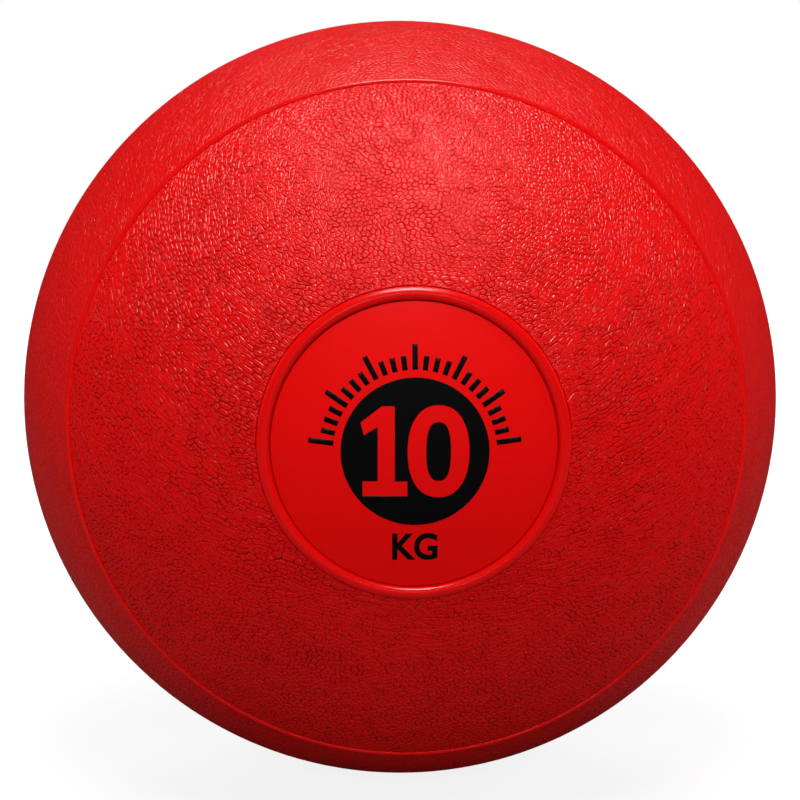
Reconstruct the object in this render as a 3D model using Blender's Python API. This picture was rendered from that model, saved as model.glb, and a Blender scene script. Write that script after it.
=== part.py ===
"""A 10 kg rubber medicine ball, 280 mm across, built up in layers like any inflated ball.

From the inside out: a butyl bladder with a needle valve, a nylon thread winding, two halves of
heavy ballast rubber that lap at the middle, and the cover. The cover is a cap round each badge and
a belt between the caps. A rib fills each seam between cap and belt, and a bead rings each badge.

Every piece is turned about the Y axis, which runs through both badges. The front badge faces -Y,
the valve sits in the rear badge on +Y, and the origin is the ball's centre. Lengths are in metres.
Angles are in degrees from the badge's axis, so 0 is the middle of the front badge, 90 the ball's
equator and 180 the valve.
"""

import math

import bmesh
import bpy

# The layers, as thicknesses from the outside in.
BALL_RADIUS = 0.140
COVER = 0.0040
BALLAST = 0.0225
WINDING = 0.0020
BLADDER = 0.0022
GAP = 0.0003  # between two pieces that touch

# The edges of the cover's parts, as angles from the front badge's axis.
BADGE_DISC_EDGE = 19.3
BADGE_RING_EDGE = 21.2
RIB_INNER_EDGE = 55.7
RIB_OUTER_EDGE = 56.6

# How the cover's surfaces stand to the ball's own.
BADGE_SINK = 0.0004
BADGE_RING_RISE = 0.0015
RIB_RISE = 0.0007
EDGE_CHAMFER = 0.0004
REST_SAG = 0.0009  # the ball's own weight flattens its lowest point by this much

# The step where the two ballast halves lap.
LAP_LENGTH = 0.008
LAP_SHARE = 0.5  # how far into the wall the step lies, from the inside

# The valve, as radii and lengths along its axis.
NECK_RADIUS = 0.0070
NECK_BORE = 0.0040
MOUTH_RADIUS = 0.0052
MOUTH_DEPTH = 0.0022
AIR_HOLE_RADIUS = 0.0012
AIR_HOLE_LENGTH = 0.0020
FLANGE_RADIUS = 0.0160
FLANGE_THICKNESS = 0.0020
NEEDLE_RADIUS = 0.0008
NEEDLE_SEAL = 0.0030  # the closed lips past the needle channel's end
CORE_DISH = 0.0004

# How finely the round pieces are cut.
OUTER_SEGMENTS = 48
INNER_SEGMENTS = 24
OUTER_STEP = 7.5
INNER_STEP = 15.0
CROWN_STEPS = 4
SMOOTH_ANGLE = math.radians(35)
MERGE = 1e-6

# Radii of the layers, from the dimensions above.
COVER_INSIDE = BALL_RADIUS - COVER
BALLAST_OUTSIDE = COVER_INSIDE - GAP
BALLAST_INSIDE = BALLAST_OUTSIDE - BALLAST
WINDING_OUTSIDE = BALLAST_INSIDE - GAP
WINDING_INSIDE = WINDING_OUTSIDE - WINDING
BLADDER_OUTSIDE = WINDING_INSIDE - GAP
BLADDER_INSIDE = BLADDER_OUTSIDE - BLADDER
BADGE_OUTSIDE = BALL_RADIUS - BADGE_SINK
FLANGE_OUTSIDE = BLADDER_INSIDE - GAP
FLANGE_INSIDE = FLANGE_OUTSIDE - FLANGE_THICKNESS
HALF_GAP_ANGLE = math.degrees(GAP / 2 / BALL_RADIUS)
FLANGE_EDGE = 180.0 - math.degrees(math.asin(FLANGE_RADIUS / FLANGE_OUTSIDE))

FRONT = 1
REAR = -1


def clear_scene():
    """Remove whatever the file opened with."""
    for found in list(bpy.data.objects):
        bpy.data.objects.remove(found, do_unlink=True)


def rubber(name, colour, roughness):
    """A plain moulded finish."""
    material = bpy.data.materials.new(name)
    material.use_nodes = True
    shader = material.node_tree.nodes["Principled BSDF"]
    shader.inputs["Base Color"].default_value = (*colour, 1.0)
    shader.inputs["Roughness"].default_value = roughness
    shader.inputs["Metallic"].default_value = 0.0
    return material


def on_circle(radius, angle):
    """A profile point: how far along Y, and how far out from it."""
    turn = math.radians(angle)
    return (-radius * math.cos(turn), radius * math.sin(turn))


def rear_angle(radius, out):
    """The angle at which a layer of this radius comes within out of the axis, at the valve."""
    return 180.0 - math.degrees(math.asin(out / radius))


def arc(radius, first, last, step, *extra):
    """Profile points along a layer, with a stop at each whole step.

    Layers that face each other share their stops, so their facets lie parallel and never cross.
    """
    low, high = sorted((first, last))
    stops = {low, high, *(stop for stop in extra if low < stop < high)}
    count = math.ceil(low / step)
    while count * step < high:
        stops.add(count * step)
        count += 1
    return [on_circle(radius, angle) for angle in sorted(stops, reverse=first > last)]


def inner_arc(radius, first, last):
    """An arc of one of the inner layers, which share one more stop at the valve flange's rim."""
    return arc(radius, first, last, INNER_STEP, FLANGE_EDGE)


def crown(base, rise, first, last):
    """A half-round top between two angles, rise above a base radius."""
    middle, half = (first + last) / 2, (last - first) / 2
    points = []
    for count in range(CROWN_STEPS + 1):
        turn = math.pi * count / CROWN_STEPS
        points.append(on_circle(base + rise * math.sin(turn), middle - half * math.cos(turn)))
    return points


def turned(name, profile, material, segments, ring, side=FRONT):
    """Spin a profile round the Y axis into one closed solid.

    A ring's profile is a closed loop clear of the axis. Any other starts and ends on the axis.
    """
    model = bmesh.new()
    points = [model.verts.new((0.0, side * along, out)) for along, out in profile]
    pairs = list(zip(points, points[1:]))
    if ring:
        pairs.append((points[-1], points[0]))
    edges = [model.edges.new(pair) for pair in pairs]
    bmesh.ops.spin(
        model,
        geom=points + edges,
        cent=(0.0, 0.0, 0.0),
        axis=(0.0, 1.0, 0.0),
        angle=math.tau,
        steps=segments,
        use_merge=True,
    )
    bmesh.ops.remove_doubles(model, verts=model.verts, dist=MERGE)
    bmesh.ops.recalc_face_normals(model, faces=model.faces)
    return placed(name, model, material)


def placed(name, model, material):
    """Turn a finished bmesh into a named object."""
    mesh = bpy.data.meshes.new(name)
    model.to_mesh(mesh)
    model.free()
    mesh.materials.append(material)
    mesh.shade_smooth()
    mesh.set_sharp_from_angle(angle=SMOOTH_ANGLE)
    thing = bpy.data.objects.new(name, mesh)
    bpy.context.scene.collection.objects.link(thing)
    return thing


def flatten_bottom(thing, height):
    """Cut the lowest point off level, which leaves the flat patch that the ball rests on."""
    model = bmesh.new()
    model.from_mesh(thing.data)
    cut = bmesh.ops.bisect_plane(
        model,
        geom=model.verts[:] + model.edges[:] + model.faces[:],
        dist=MERGE,
        plane_co=(0.0, 0.0, height),
        plane_no=(0.0, 0.0, -1.0),
        clear_outer=True,
    )
    rim = [item for item in cut["geom_cut"] if isinstance(item, bmesh.types.BMEdge)]
    bmesh.ops.holes_fill(model, edges=rim)
    bmesh.ops.recalc_face_normals(model, faces=model.faces)
    model.to_mesh(thing.data)
    model.free()
    thing.data.set_sharp_from_angle(angle=SMOOTH_ANGLE)


def panel_profile(first, last):
    """A strip of the cover, its outer edges chamfered where they meet a bead."""
    low, high = first + HALF_GAP_ANGLE, last - HALF_GAP_ANGLE
    chamfer = math.degrees(EDGE_CHAMFER / BALL_RADIUS)
    outer = arc(BALL_RADIUS, low + chamfer, high - chamfer, OUTER_STEP)
    far_side = on_circle(BALL_RADIUS - EDGE_CHAMFER, high)
    near_side = on_circle(BALL_RADIUS - EDGE_CHAMFER, low)
    inner = arc(COVER_INSIDE, high, low, OUTER_STEP)
    return [*outer, far_side, *inner, near_side]


def bead_profile(rise, first, last):
    """A strip as deep as the cover, with a half-round top that stands above it."""
    low, high = first + HALF_GAP_ANGLE, last - HALF_GAP_ANGLE
    foot = [on_circle(COVER_INSIDE, high), on_circle(COVER_INSIDE, low)]
    return [*crown(BALL_RADIUS - EDGE_CHAMFER, rise + EDGE_CHAMFER, low, high), *foot]


def build_cover(textured, smooth):
    """The cover: two caps, the belt between them, and their beads."""
    for word, side in (("front", FRONT), ("rear", REAR)):
        cap = panel_profile(BADGE_RING_EDGE, RIB_INNER_EDGE)
        ring = bead_profile(BADGE_RING_RISE, BADGE_DISC_EDGE, BADGE_RING_EDGE)
        rib = bead_profile(RIB_RISE, RIB_INNER_EDGE, RIB_OUTER_EDGE)
        turned(f"{word}_cover_panel", cap, textured, OUTER_SEGMENTS, True, side)
        turned(f"{word}_badge_ring", ring, smooth, OUTER_SEGMENTS, True, side)
        turned(f"{word}_seam_rib", rib, smooth, OUTER_SEGMENTS, True, side)
    belt_profile = panel_profile(RIB_OUTER_EDGE, 180.0 - RIB_OUTER_EDGE)
    belt = turned("belt_cover_panel", belt_profile, textured, OUTER_SEGMENTS, True)
    flatten_bottom(belt, REST_SAG - BALL_RADIUS)


def build_badges(smooth):
    """The two badge discs. The rear one has the hole that the valve comes up through."""
    rim = BADGE_DISC_EDGE - HALF_GAP_ANGLE
    outer = arc(BADGE_OUTSIDE, 0.0, rim, OUTER_STEP)
    inner = arc(COVER_INSIDE, rim, 0.0, OUTER_STEP)
    turned("front_badge_disc", [*outer, *inner], smooth, OUTER_SEGMENTS, False)
    hole = NECK_RADIUS + GAP
    outer = arc(BADGE_OUTSIDE, 180.0 - rim, rear_angle(BADGE_OUTSIDE, hole), OUTER_STEP)
    inner = arc(COVER_INSIDE, rear_angle(COVER_INSIDE, hole), 180.0 - rim, OUTER_STEP)
    turned("rear_badge_disc", [*outer, *inner], smooth, OUTER_SEGMENTS, True)


def build_ballast(heavy):
    """Two heavy hemispheres. The front one's inner tongue slides into the rear one's rim."""
    step = BALLAST_INSIDE + LAP_SHARE * BALLAST
    tongue, socket = step - GAP / 2, step + GAP / 2
    front_lip = -LAP_LENGTH / 2 - GAP / 2
    tongue_end = LAP_LENGTH / 2 - GAP / 2
    rear_lip, socket_end = front_lip + GAP, tongue_end + GAP

    def angle_at(radius, along):
        return math.degrees(math.acos(-along / radius))

    front = [
        *arc(BALLAST_OUTSIDE, 0.0, angle_at(BALLAST_OUTSIDE, front_lip), OUTER_STEP),
        (front_lip, tongue),
        (tongue_end, tongue),
        *inner_arc(BALLAST_INSIDE, angle_at(BALLAST_INSIDE, tongue_end), 0.0),
    ]
    turned("front_ballast_shell", front, heavy, OUTER_SEGMENTS, False)

    hole = NECK_RADIUS + GAP
    outer_hole = rear_angle(BALLAST_OUTSIDE, hole)
    inner_hole = rear_angle(BALLAST_INSIDE, hole)
    rear = [
        *arc(BALLAST_OUTSIDE, outer_hole, angle_at(BALLAST_OUTSIDE, rear_lip), OUTER_STEP),
        (rear_lip, socket),
        (socket_end, socket),
        *inner_arc(BALLAST_INSIDE, angle_at(BALLAST_INSIDE, socket_end), inner_hole),
    ]
    turned("rear_ballast_shell", rear, heavy, OUTER_SEGMENTS, True)


def hollow_sphere(outside, outer_edge, inside, inner_edge):
    """A thin round wall, open only where the valve passes through it."""
    return [*inner_arc(outside, 0.0, outer_edge), *inner_arc(inside, inner_edge, 0.0)]


def build_carcass(thread, butyl):
    """The bladder that holds the air, and the thread wound round it that holds its shape."""
    winding = hollow_sphere(WINDING_OUTSIDE, FLANGE_EDGE, WINDING_INSIDE, FLANGE_EDGE)
    turned("thread_winding", winding, thread, INNER_SEGMENTS, False)
    hole = NECK_RADIUS + GAP
    outer_edge = rear_angle(BLADDER_OUTSIDE, hole)
    inner_edge = rear_angle(BLADDER_INSIDE, hole)
    bladder = hollow_sphere(BLADDER_OUTSIDE, outer_edge, BLADDER_INSIDE, inner_edge)
    turned("bladder", bladder, butyl, INNER_SEGMENTS, False)


def build_valve(butyl, plug):
    """The needle valve: a flanged housing, the plug inside it, and the patch round its neck."""
    mouth = BADGE_OUTSIDE
    shelf = mouth - MOUTH_DEPTH
    bore_floor = FLANGE_INSIDE + AIR_HOLE_LENGTH
    under = math.sqrt(FLANGE_INSIDE**2 - AIR_HOLE_RADIUS**2)
    housing = [
        (mouth, MOUTH_RADIUS),
        (mouth, NECK_RADIUS),
        *inner_arc(FLANGE_OUTSIDE, rear_angle(FLANGE_OUTSIDE, NECK_RADIUS), FLANGE_EDGE),
        *inner_arc(FLANGE_INSIDE, FLANGE_EDGE, rear_angle(FLANGE_INSIDE, NECK_RADIUS)),
        (under, AIR_HOLE_RADIUS),
        (bore_floor, AIR_HOLE_RADIUS),
        (bore_floor, NECK_BORE),
        (shelf, NECK_BORE),
        (shelf, MOUTH_RADIUS),
    ]
    turned("valve_housing", housing, butyl, INNER_SEGMENTS, True)

    head, stem = MOUTH_RADIUS - GAP, NECK_BORE - GAP
    tip = bore_floor + GAP
    core = [
        (tip, 0.0),
        (tip, stem - EDGE_CHAMFER),
        (tip + EDGE_CHAMFER, stem),
        (shelf + GAP, stem),
        (shelf + GAP, head),
        (mouth, head),
        (mouth - CORE_DISH, NEEDLE_RADIUS),
        (tip + NEEDLE_SEAL, NEEDLE_RADIUS),
        (tip + NEEDLE_SEAL, 0.0),
    ]
    turned("valve_core", core, plug, INNER_SEGMENTS, False)

    near, far = NECK_RADIUS + GAP, FLANGE_EDGE + 2 * HALF_GAP_ANGLE
    patch = [
        *inner_arc(WINDING_OUTSIDE, far, rear_angle(WINDING_OUTSIDE, near)),
        *inner_arc(WINDING_INSIDE, rear_angle(WINDING_INSIDE, near), far),
    ]
    turned("valve_patch", patch, butyl, INNER_SEGMENTS, True)


def main():
    clear_scene()
    textured = rubber("cover_rubber", (0.75, 0.006, 0.006), 0.42)
    smooth = rubber("badge_rubber", (0.75, 0.007, 0.007), 0.28)
    heavy = rubber("ballast_rubber", (0.035, 0.035, 0.038), 0.80)
    thread = rubber("winding_thread", (0.62, 0.58, 0.48), 0.85)
    butyl = rubber("butyl_rubber", (0.015, 0.015, 0.016), 0.55)
    plug = rubber("valve_rubber", (0.030, 0.030, 0.032), 0.60)
    build_cover(textured, smooth)
    build_badges(smooth)
    build_ballast(heavy)
    build_carcass(thread, butyl)
    build_valve(butyl, plug)


main()
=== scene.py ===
# %% [markdown]
# This script dresses a rubber medicine ball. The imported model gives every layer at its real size, and
# here the cover gets its leather-like grain, the badges get their smooth moulded rubber and their
# print, and the valve gets its rounded mouth. The ball's centre is the origin. The badges lie on the
# Y axis, with the printed one facing -Y, so nearly everything is turned about Y.

# %% Load the frame
import math

import bmesh
import bpy
import numpy as np
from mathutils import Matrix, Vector, geometry, noise


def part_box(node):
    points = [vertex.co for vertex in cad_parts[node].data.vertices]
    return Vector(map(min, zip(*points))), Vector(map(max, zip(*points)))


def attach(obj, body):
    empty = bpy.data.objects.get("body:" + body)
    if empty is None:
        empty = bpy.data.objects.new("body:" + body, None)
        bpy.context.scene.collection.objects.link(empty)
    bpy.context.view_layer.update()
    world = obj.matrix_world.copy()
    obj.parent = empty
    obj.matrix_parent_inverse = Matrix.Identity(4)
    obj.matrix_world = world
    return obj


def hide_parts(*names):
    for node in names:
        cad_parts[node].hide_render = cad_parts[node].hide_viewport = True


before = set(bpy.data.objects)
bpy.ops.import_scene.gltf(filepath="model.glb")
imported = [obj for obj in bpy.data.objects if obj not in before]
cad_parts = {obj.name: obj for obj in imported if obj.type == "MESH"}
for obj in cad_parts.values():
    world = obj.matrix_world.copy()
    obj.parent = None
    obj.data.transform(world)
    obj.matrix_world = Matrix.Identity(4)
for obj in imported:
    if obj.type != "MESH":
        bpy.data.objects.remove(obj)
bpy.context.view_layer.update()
MM = 0.001
print("nodes:", ", ".join(sorted(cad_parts)))

# %% [markdown]
# Each piece of the cover is a ring between two circles round the Y axis. The easiest way to say where
# a circle lies is its angle from the front badge's middle, as seen from the ball's centre. These
# angles and radii are read from the solids, so the looks can't drift away from the frame.


# %% Read the angles and radii of the solids
def reach(node):
    """Lowest and highest angle from the front badge, and radius, of a node's vertices."""
    points = np.array([v.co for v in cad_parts[node].data.vertices], float)
    radius = np.linalg.norm(points, axis=1)
    angle = np.degrees(np.arccos(np.clip(-points[:, 1] / radius, -1.0, 1.0)))
    return angle.min(), angle.max(), radius.min(), radius.max()


BALL_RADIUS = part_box("belt_cover_panel")[1].x
REST_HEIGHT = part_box("belt_cover_panel")[0].z
CAP_INNER, CAP_OUTER, COVER_INSIDE, _ = reach("front_cover_panel")
RING_INNER, RING_OUTER, _, RING_TOP = reach("front_badge_ring")
RIB_INNER, RIB_OUTER, _, RIB_TOP = reach("front_seam_rib")
BELT_INNER, BELT_OUTER, _, _ = reach("belt_cover_panel")
_, DISC_EDGE, _, DISC_RADIUS = reach("front_badge_disc")
print(f"ball {2000 * BALL_RADIUS:.1f} mm, cap {CAP_INNER:.2f} to {CAP_OUTER:.2f} degrees,")
print(f"ring {RING_INNER:.2f} to {RING_OUTER:.2f}, rib {RIB_INNER:.2f} to {RIB_OUTER:.2f},")
print(f"belt {BELT_INNER:.2f} to {BELT_OUTER:.2f}, disc to {DISC_EDGE:.2f} degrees")

# %% [markdown]
# The camera stands a little to the left of the front badge and a little above it, three ball
# widths away, with a long lens.

# %% Camera
CAMERA_AZIMUTH = -2.0
CAMERA_ELEVATION = 6.6
CAMERA_DISTANCE = 6 * BALL_RADIUS
CAMERA_DROP = 1.2 * MM  # it aims this far under the ball's centre
LENS_MM = 100.1


def spot(azimuth, elevation, distance):
    """A place round the ball: azimuth 0 is in front of the printed badge, positive to the right."""
    turn, rise = math.radians(azimuth), math.radians(elevation)
    flat = distance * math.cos(rise)
    return Vector((flat * math.sin(turn), -flat * math.cos(turn), distance * math.sin(rise)))


def aim(thing, target):
    """Turn a lamp or camera so that it looks at a point."""
    thing.rotation_euler = (target - thing.location).to_track_quat("-Z", "Y").to_euler()


def placed(name, data):
    """A new object in the scene, at the origin."""
    thing = bpy.data.objects.new(name, data)
    bpy.context.scene.collection.objects.link(thing)
    return thing


camera = placed("camera", bpy.data.cameras.new("camera"))
camera.data.lens = LENS_MM
camera.data.clip_start = 0.01
camera.location = spot(CAMERA_AZIMUTH, CAMERA_ELEVATION, CAMERA_DISTANCE)
aim(camera, Vector((0.0, 0.0, -CAMERA_DROP)))
bpy.context.scene.camera = camera
bpy.context.scene.view_settings.view_transform = "Standard"
print("camera at", [round(value, 3) for value in camera.location])

# %% [markdown]
# The rubber finishes share two effects. No moulded rubber is one even colour: the mould release and
# the cure leave slow clouds of tone and of gloss. And at arm's length every rubber has a fine
# stipple. Both are node groups, built once and placed in each material with its own values.


# %% Node groups that every finish shares
def new_group(name, inputs, outputs):
    """An empty shader group with named sockets. Returns it with its two end nodes."""
    group = bpy.data.node_groups.new(name, "ShaderNodeTree")
    for label, kind, value in inputs:
        socket = group.interface.new_socket(label, in_out="INPUT", socket_type=kind)
        socket.default_value = value
    for label, kind in outputs:
        group.interface.new_socket(label, in_out="OUTPUT", socket_type=kind)
    return group, group.nodes.new("NodeGroupInput"), group.nodes.new("NodeGroupOutput")


def add_node(tree, kind, settings=(), links=()):
    """Add a node, give it its settings, set its input values and make its links.

    A setting's name is one of the node's own, and a link's name is one of its inputs. A link's
    value may be a number, or the output socket that feeds it.
    """
    node = tree.nodes.new(kind)
    for name, value in dict(settings).items():
        setattr(node, name, value)
    for name, value in dict(links).items():
        if isinstance(value, bpy.types.NodeSocket):
            tree.links.new(value, node.inputs[name])
        else:
            node.inputs[name].default_value = value
    return node


def math_node(tree, operation, first, second=0.0):
    """One sum. Either side is a number or a socket."""
    node = add_node(tree, "ShaderNodeMath", {"operation": operation}, {0: first, 1: second})
    return node.outputs[0]


FLOAT, COLOUR, VECTOR = "NodeSocketFloat", "NodeSocketColor", "NodeSocketVector"

tone, tone_in, tone_out = new_group(
    "rubber tone",
    [("Vector", VECTOR, (0, 0, 0)), ("Color", COLOUR, (0.5, 0.5, 0.5, 1)), ("Cloud size mm", FLOAT, 30.0),
     ("Tone change", FLOAT, 0.05), ("Roughness", FLOAT, 0.4), ("Gloss change", FLOAT, 0.05)],
    [("Color", COLOUR), ("Roughness", FLOAT)],
)
scale = math_node(tone, "DIVIDE", 1000.0, tone_in.outputs["Cloud size mm"])
clouds = add_node(tone, "ShaderNodeTexNoise", {}, {
    "Vector": tone_in.outputs["Vector"], "Scale": scale, "Detail": 4.0, "Roughness": 0.6})
swing = math_node(tone, "SUBTRACT", clouds.outputs["Fac"], 0.5)
gain = math_node(tone, "MULTIPLY", swing, tone_in.outputs["Tone change"])
value = math_node(tone, "ADD", gain, 1.0)
shade = add_node(tone, "ShaderNodeHueSaturation", {}, {
    "Value": value, "Color": tone_in.outputs["Color"]})
tone.links.new(shade.outputs["Color"], tone_out.inputs["Color"])
gloss = math_node(tone, "MULTIPLY", swing, tone_in.outputs["Gloss change"])
rough = math_node(tone, "ADD", gloss, tone_in.outputs["Roughness"])
tone.links.new(rough, tone_out.inputs["Roughness"])

stipple, stipple_in, stipple_out = new_group(
    "rubber stipple",
    [("Vector", VECTOR, (0, 0, 0)), ("Grain size mm", FLOAT, 0.5), ("Depth", FLOAT, 1.0)],
    [("Height", FLOAT)],
)
scale = math_node(stipple, "DIVIDE", 1000.0, stipple_in.outputs["Grain size mm"])
specks = add_node(stipple, "ShaderNodeTexNoise", {}, {
    "Vector": stipple_in.outputs["Vector"], "Scale": scale, "Detail": 2.0, "Roughness": 0.5})
deep = math_node(stipple, "MULTIPLY", specks.outputs["Fac"], stipple_in.outputs["Depth"])
stipple.links.new(deep, stipple_out.inputs["Height"])
print("groups:", tone.name, "and", stipple.name)

# %% [markdown]
# The cover's grain runs in a direction: its cells are round near the top of the ball's front, narrow
# on the flanks, and round again low down. They lie in rings about one axis through the ball, as on a
# hide pulled over a form. Away from the axis they are larger, and their creases are deeper.

# %% The grain's axis
GRAIN_ELEVATION = 42.0
GRAIN_AZIMUTH = 4.0
NARROWEST = 2.3  # length over width of the narrowest cells
grain_axis = spot(GRAIN_AZIMUTH, GRAIN_ELEVATION, 1.0)
to_grain = grain_axis.rotation_difference(Vector((0, 0, 1))).to_matrix()
from_grain = to_grain.transposed()
print("grain axis", [round(value, 3) for value in grain_axis])

# %% [markdown]
# The cover's material reads two numbers that the mesh carries. "crease" says how deep in a crease a
# point lies, and the rubber is painted darker there: painted shade. "rim" says how near a cell's rim
# it lies: the rims are painted paler, as a painted highlight, and are smoother, while the tops stay
# duller.
# Between the modelled creases the material adds finer ones, as bumps, in patches.


# %% Materials: grained cover
COVER_SHINE = 0.55  # 0.5 is what a plain plastic has
BADGE_SHINE = 0.18
INK_SHINE = 0.15
BEAD_SHINE = 0.5


def new_material(name, shine):
    """A material with its shader. Returns the material, its tree and the shader."""
    material = bpy.data.materials.new(name)
    material.use_nodes = True
    tree = material.node_tree
    shader = tree.nodes["Principled BSDF"]
    shader.inputs["Specular IOR Level"].default_value = shine
    return material, tree, shader


def place_group(tree, group, links):
    return add_node(tree, "ShaderNodeGroup", {"node_tree": group}, links)


def object_coordinates(tree):
    return add_node(tree, "ShaderNodeTexCoord").outputs["Object"]


COVER_RED = (0.655, 0.0010, 0.0010, 1.0)
# The paler red of the rims is a painted highlight.
RIM_HIGHLIGHT_RED = (0.87, 0.0020, 0.0020, 1.0)
# The dark red of the creases is painted shade.
CREASE_SHADE_RED = (0.30, 0.0005, 0.0005, 1.0)
FINE_CELL_MM = 1.25
FINE_LINE = 0.14  # how much of a fine cell is crease


def grained_rubber():
    material, tree, shader = new_material("grained red rubber", COVER_SHINE)
    where = object_coordinates(tree)
    bend = add_node(tree, "ShaderNodeTexNoise", {"noise_dimensions": "3D"}, {
        "Vector": where, "Scale": 260.0, "Detail": 2.0})
    offset = add_node(tree, "ShaderNodeVectorMath", {"operation": "SCALE"}, {
        0: bend.outputs["Color"], "Scale": 1.1 * MM})
    bent = add_node(tree, "ShaderNodeVectorMath", {"operation": "ADD"}, {
        0: where, 1: offset.outputs["Vector"]})
    cells = add_node(tree, "ShaderNodeTexVoronoi", {"feature": "DISTANCE_TO_EDGE"}, {
        "Vector": bent.outputs["Vector"], "Scale": 1000.0 / FINE_CELL_MM})
    line = add_node(tree, "ShaderNodeMapRange", {"interpolation_type": "SMOOTHSTEP"}, {
        "Value": cells.outputs["Distance"], "From Min": 0.0, "From Max": FINE_LINE})
    patches = add_node(tree, "ShaderNodeTexNoise", {}, {"Vector": where, "Scale": 110.0, "Detail": 3.0})
    strength = add_node(tree, "ShaderNodeMapRange", {"interpolation_type": "SMOOTHSTEP"}, {
        "Value": patches.outputs["Fac"], "From Min": 0.38, "From Max": 0.62})
    fine = math_node(tree, "MULTIPLY", line.outputs["Result"], strength.outputs["Result"])
    specks = place_group(tree, stipple, {"Vector": where, "Grain size mm": 0.35, "Depth": 0.25})
    height = math_node(tree, "ADD", fine, specks.outputs["Height"])
    bump = add_node(tree, "ShaderNodeBump", {}, {
        "Height": height, "Strength": 1.0, "Distance": 0.07 * MM})
    tree.links.new(bump.outputs["Normal"], shader.inputs["Normal"])

    # Painted shade: the deeper a point lies in a crease, the darker its red.
    depth = add_node(tree, "ShaderNodeAttribute", {"attribute_name": "crease"})
    deep = add_node(tree, "ShaderNodeMapRange", {"interpolation_type": "SMOOTHSTEP"}, {
        "Value": depth.outputs["Fac"], "From Min": 0.2, "From Max": 0.8})
    # Painted highlight: the rims are a paler red. They are also less rough.
    rims = add_node(tree, "ShaderNodeAttribute", {"attribute_name": "rim"})
    rim_highlight = add_node(tree, "ShaderNodeMix", {"data_type": "RGBA"}, {
        "Factor": rims.outputs["Fac"], 6: COVER_RED, 7: RIM_HIGHLIGHT_RED})
    colour = add_node(tree, "ShaderNodeMix", {"data_type": "RGBA"}, {
        "Factor": deep.outputs["Result"], 6: rim_highlight.outputs[2], 7: CREASE_SHADE_RED})
    rough = add_node(tree, "ShaderNodeMapRange", {}, {
        "Value": rims.outputs["Fac"], "To Min": 0.52, "To Max": 0.21})
    clouds = place_group(tree, tone, {
        "Vector": where, "Color": colour.outputs[2], "Cloud size mm": 35.0, "Tone change": 0.10,
        "Roughness": rough.outputs["Result"], "Gloss change": 0.12})
    tree.links.new(clouds.outputs["Color"], shader.inputs["Base Color"])
    tree.links.new(clouds.outputs["Roughness"], shader.inputs["Roughness"])
    return material


cover_finish = grained_rubber()
print("made", cover_finish.name)

# %% [markdown]
# The other finishes are one recipe with different values: a colour, a shine, a roughness, the size
# and depth of the stipple, and the size and strength of the clouds of tone. The beads are the
# glossiest, because the mould was polished there.


# %% Materials: smooth rubber, ink and the valve's rubber
def smooth_rubber(name, colour, shine, roughness, grain_mm, depth_mm, cloud_mm=45.0, change=0.05):
    material, tree, shader = new_material(name, shine)
    where = object_coordinates(tree)
    clouds = place_group(tree, tone, {
        "Vector": where, "Color": colour, "Cloud size mm": cloud_mm, "Tone change": change,
        "Roughness": roughness, "Gloss change": 0.2 * roughness})
    tree.links.new(clouds.outputs["Color"], shader.inputs["Base Color"])
    tree.links.new(clouds.outputs["Roughness"], shader.inputs["Roughness"])
    specks = place_group(tree, stipple, {"Vector": where, "Grain size mm": grain_mm, "Depth": 1.0})
    bump = add_node(tree, "ShaderNodeBump", {}, {
        "Height": specks.outputs["Height"], "Strength": 1.0, "Distance": depth_mm * MM})
    tree.links.new(bump.outputs["Normal"], shader.inputs["Normal"])
    return material


BEAD_RED = (0.80, 0.0012, 0.0012, 1.0)
BADGE_RED = (0.84, 0.0026, 0.0026, 1.0)
INK = (0.0020, 0.0020, 0.0024, 1.0)
BLACK = (0.018, 0.018, 0.019, 1.0)
PLUG_BLACK = (0.028, 0.028, 0.030, 1.0)
CRUMB = (0.035, 0.035, 0.038, 1.0)
YARN = (0.62, 0.58, 0.48, 1.0)
bead_finish = smooth_rubber("bead red rubber", BEAD_RED, BEAD_SHINE, 0.20, 1.6, 0.0005)
disc_finish = smooth_rubber("badge red rubber", BADGE_RED, BADGE_SHINE, 0.48, 0.8, 0.006)
ink_finish = smooth_rubber("black ink", INK, INK_SHINE, 0.50, 0.5, 0.004)
valve_finish = smooth_rubber("valve black rubber", BLACK, COVER_SHINE, 0.45, 0.6, 0.01)
plug_finish = smooth_rubber("plug rubber", PLUG_BLACK, COVER_SHINE, 0.50, 0.6, 0.01)
ballast_finish = smooth_rubber("ballast rubber", CRUMB, BADGE_SHINE, 0.80, 1.2, 0.08, 12.0, 0.3)
thread_finish = smooth_rubber("wound thread", YARN, BADGE_SHINE, 0.85, 0.6, 0.15, 6.0, 0.3)
butyl_finish = smooth_rubber("butyl rubber", BLACK, COVER_SHINE, 0.55, 1.0, 0.02)
print("made", len(bpy.data.materials), "materials")

# %% [markdown]
# The cover's grain is modelled, cell by cell. A displacement texture on an even grid would need a
# vertex every tenth of a millimetre to draw creases half a millimetre wide. A net of cells needs
# only a few faces each, and its creases are exact. The net is the dual of a triangle mesh: points
# are strewn over the ball, they are joined into triangles, and the middle of each triangle becomes
# a corner where creases meet. To get narrow cells, the points are joined on an "even" ball, where
# every cell is round, and only a point's angle from the grain's axis differs between the two.

# %% The angles on the ball and on the even ball
NARROW_ANGLES = np.radians([0, 12, 40, 60, 76])
NARROW_SHARES = [0.0, 0.0, 1.0, 1.0, 0.1]


def narrowness(angle):
    """Length over width of the cells at an angle from the grain's axis."""
    near = np.minimum(angle, math.pi - angle)
    share = np.interp(near, NARROW_ANGLES, NARROW_SHARES)
    return 1 + (NARROWEST - 1) * share**2 * (3 - 2 * share)


ball_angle = np.radians(np.linspace(0.01, 179.99, 7201))
rate = narrowness(ball_angle) / np.sin(ball_angle)
total = np.concatenate([[0.0], np.cumsum((rate[1:] + rate[:-1]) / 2 * np.diff(ball_angle))])
total -= np.interp(math.pi / 2, ball_angle, total)
even_angle = 2 * np.arctan(np.exp(total))


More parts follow.
